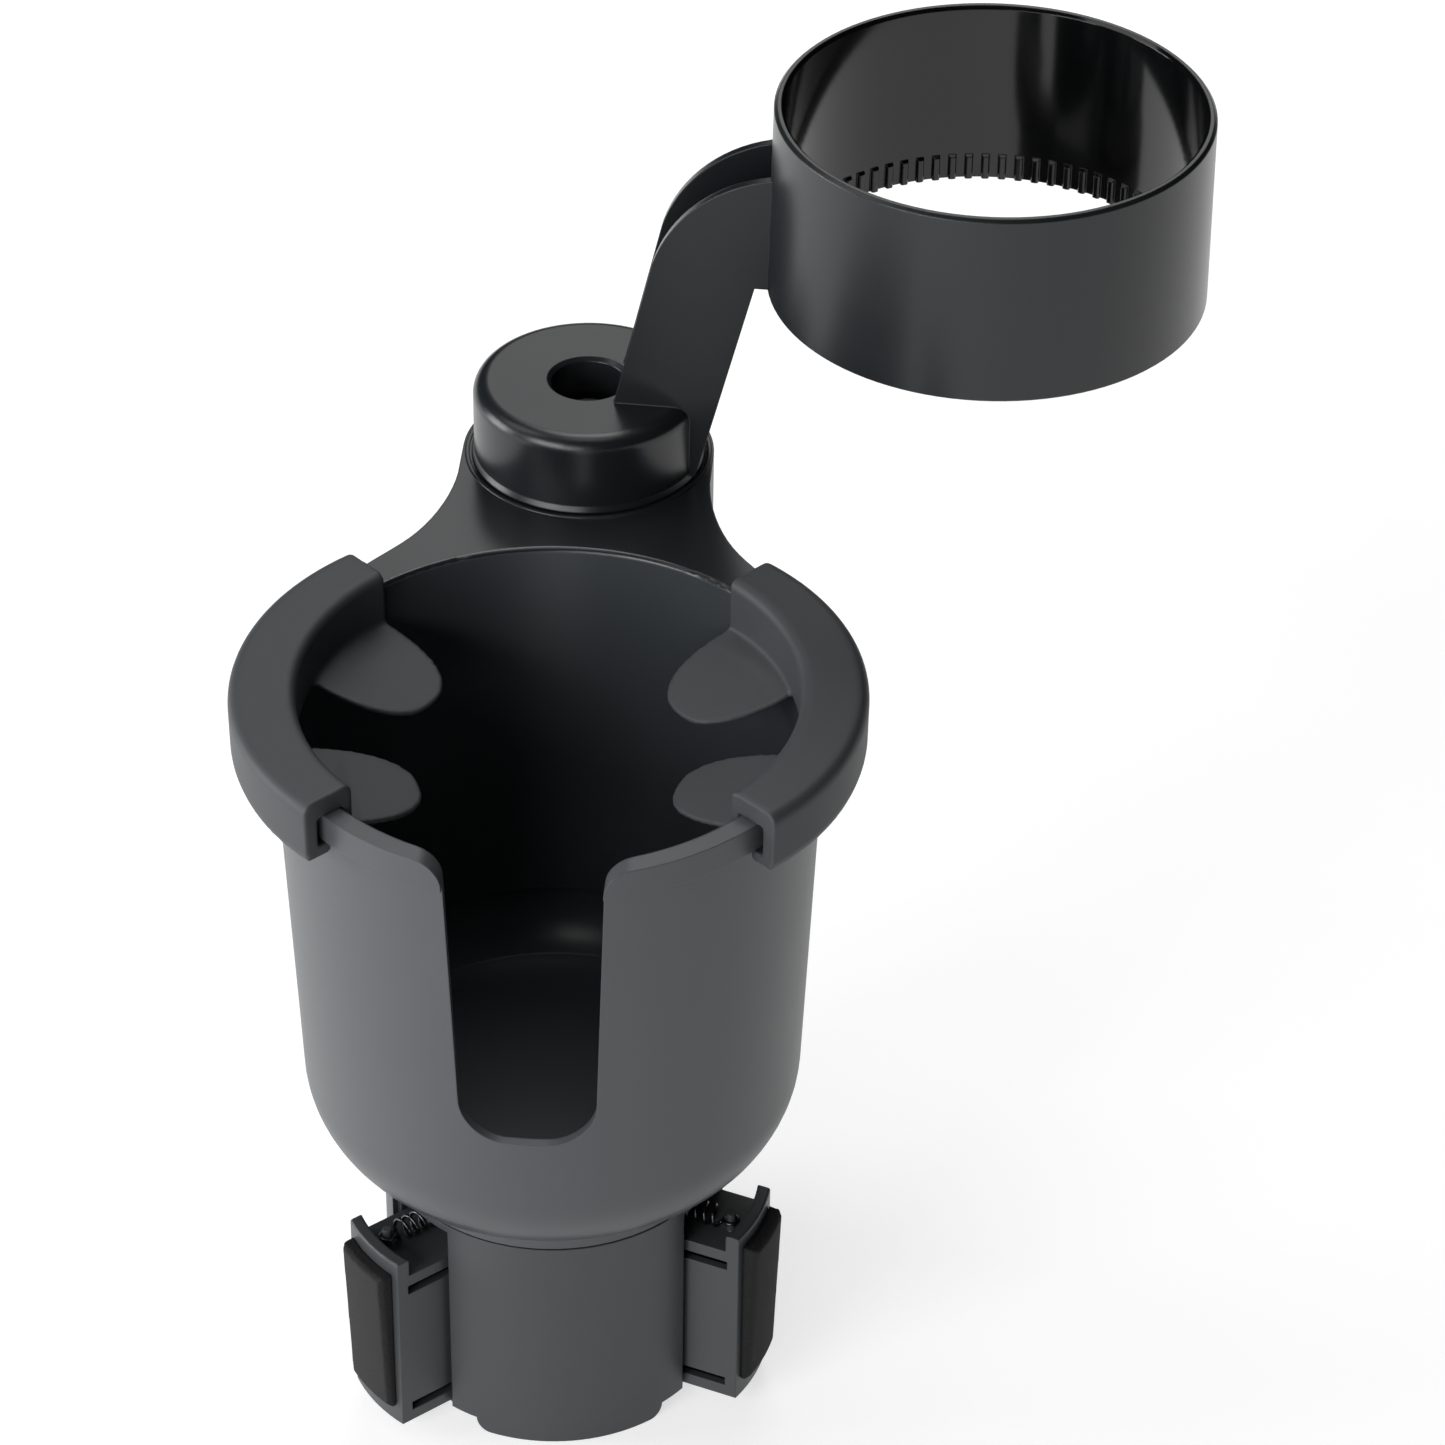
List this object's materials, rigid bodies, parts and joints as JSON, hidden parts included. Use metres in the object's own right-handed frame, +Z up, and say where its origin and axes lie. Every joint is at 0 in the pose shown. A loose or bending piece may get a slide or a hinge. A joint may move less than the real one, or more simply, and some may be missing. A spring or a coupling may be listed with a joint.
{
  "type": "cup holder expander",
  "caption": "Cup holder expander: a slotted cup with rubber rim flaps on a base whose grip arms slide out as the cup turns, and a second ring on a swivelling arm.",
  "frame": {"origin": "centre of the base's foot, on the axis of the cup and of the base", "axes": "+Z up along the cup's axis, -Y out of the cup's handle slot, +Y towards the neck and the swivel"},
  "size_m": [0.1751, 0.1697, 0.2376],
  "materials": {
    "body_plastic": "fine satin moulded plastic, near black",
    "ring_plastic": "smooth moulded plastic with a soft gloss, near black",
    "inner_plastic": "plain moulded plastic, black",
    "rim_rubber": "soft matt thermoplastic rubber",
    "pad_rubber": "closed-cell foam rubber, the darkest piece",
    "steel": "zinc-plated steel",
    "spring_steel": "drawn spring wire",
    "brass": "turned brass insert",
    "bearing_plastic": "natural low-friction plastic"
  },
  "bodies": {
    "base": {"base_housing": "body_plastic", "base_cover": "inner_plastic", "cover_screws": "steel", "bearing_bush": "bearing_plastic", "arm_spring_left": "spring_steel", "arm_spring_right": "spring_steel", "arm_spring_rear": "spring_steel"},
    "cup": {"cup_body": "body_plastic", "rim_clip_left": "rim_rubber", "rim_clip_right": "rim_rubber", "scroll_disc": "inner_plastic", "centre_bolt": "steel", "centre_washer": "steel", "hub_insert": "brass", "boss_insert": "brass", "friction_disc": "bearing_plastic", "swivel_washer": "steel", "swivel_screw": "steel"},
    "ring": {"ring_arm": "ring_plastic"},
    "arm_left": {"arm_slider_left": "body_plastic", "grip_pad_left": "pad_rubber", "drive_pin_left": "steel"},
    "arm_right": {"arm_slider_right": "body_plastic", "grip_pad_right": "pad_rubber", "drive_pin_right": "steel"},
    "arm_rear": {"arm_slider_rear": "body_plastic", "grip_pad_rear": "pad_rubber", "drive_pin_rear": "steel"}
  },
  "joints": [
    {"name": "cup_turn", "type": "hinge", "parent": "base", "child": "cup", "pos_m": [0, 0, 0.051], "axis": [0, 0, -1], "range_deg": [-94, 15.5]},
    {"name": "ring_swivel", "type": "hinge", "parent": "cup", "child": "ring", "pos_m": [0, 0.0822, 0.157], "axis": [0, 0, 1], "continuous": true},
    {"name": "slide_left", "type": "slide", "parent": "base", "child": "arm_left", "axis": [-0.7547, -0.6561, 0], "range_m": [-0.0103, 0.0017], "deforming": ["arm_spring_left"]},
    {"name": "slide_right", "type": "slide", "parent": "base", "child": "arm_right", "axis": [0.9455, -0.3256, 0], "range_m": [-0.0103, 0.0017], "deforming": ["arm_spring_right"]},
    {"name": "slide_rear", "type": "slide", "parent": "base", "child": "arm_rear", "axis": [-0.1908, 0.9816, 0], "range_m": [-0.0103, 0.0017], "deforming": ["arm_spring_rear"]}
  ],
  "couplings": [
    {"joint": "slide_left", "follows": "cup_turn", "m_per_rad": 0.00625},
    {"joint": "slide_right", "follows": "cup_turn", "m_per_rad": 0.00625},
    {"joint": "slide_rear", "follows": "cup_turn", "m_per_rad": 0.00625}
  ]
}
